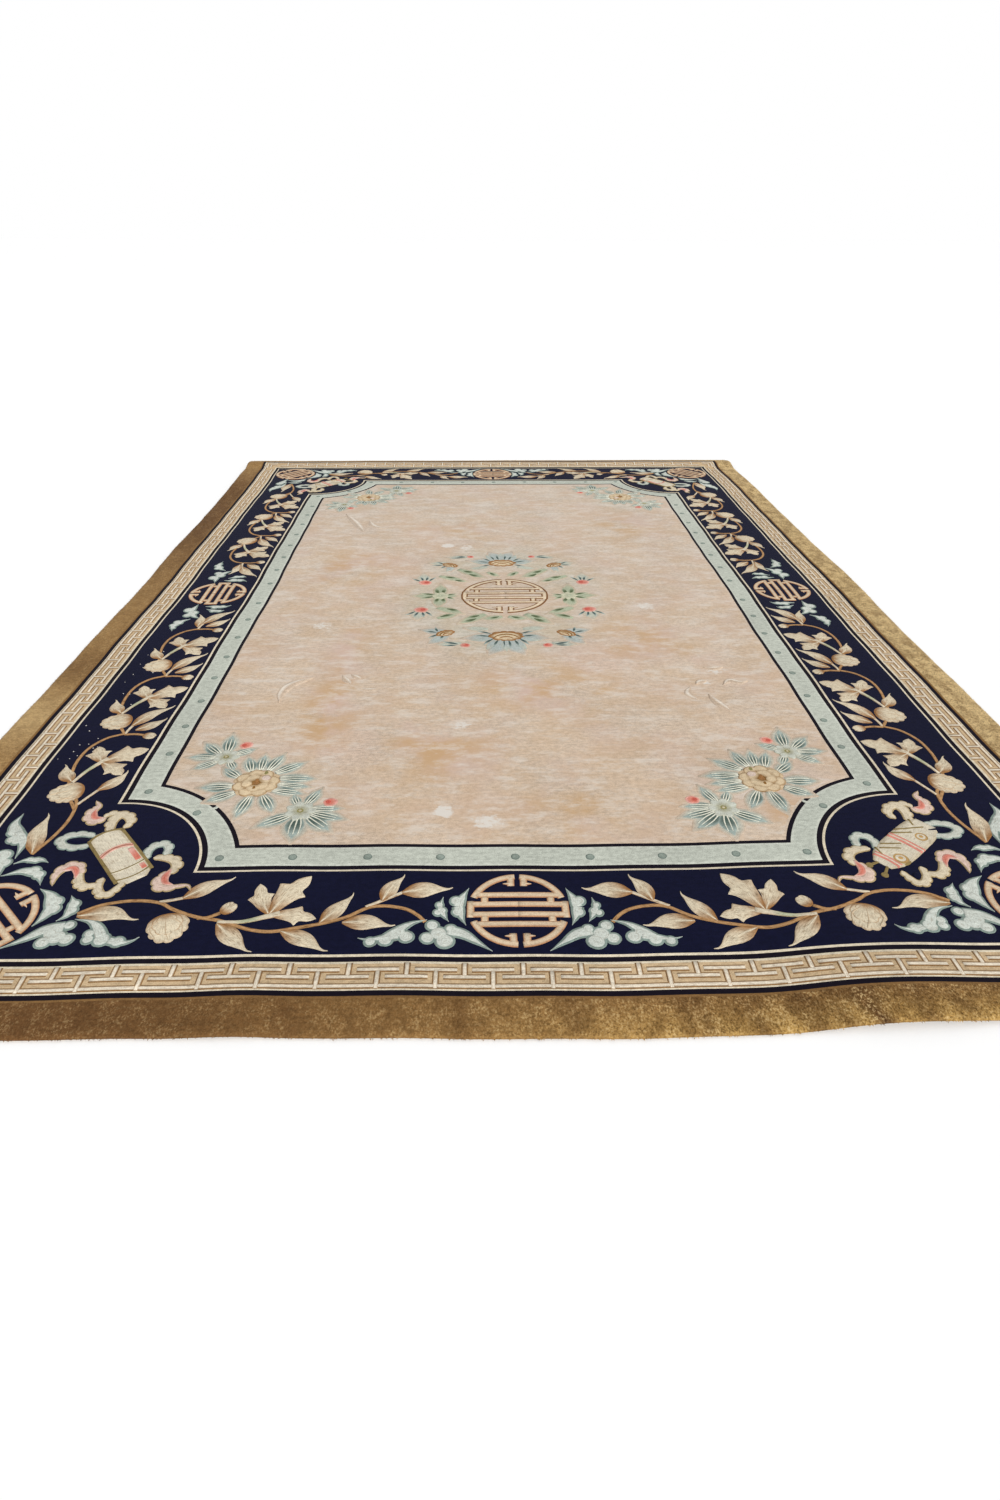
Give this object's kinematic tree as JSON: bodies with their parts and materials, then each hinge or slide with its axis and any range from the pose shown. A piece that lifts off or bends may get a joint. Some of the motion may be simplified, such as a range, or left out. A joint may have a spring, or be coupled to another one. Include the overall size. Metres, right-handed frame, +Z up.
{
  "type": "silk rug",
  "caption": "Flat hand-knotted silk rug with carved borders, notched field corners and round medallions, lying on a floor.",
  "frame": {"origin": "middle of the underside, on the floor", "axes": "+Y along the rug's length towards its far end, +X across its width to the right as seen from the near end, +Z up out of the pile"},
  "size_m": [2.757, 3.9826, 0.027],
  "materials": {
    "silk_pile": "carved silk pile with a soft sheen, peach field inside mint, navy, cream and gold borders"
  },
  "bodies": {
    "root": {"rug": "silk_pile"}
  },
  "joints": []
}
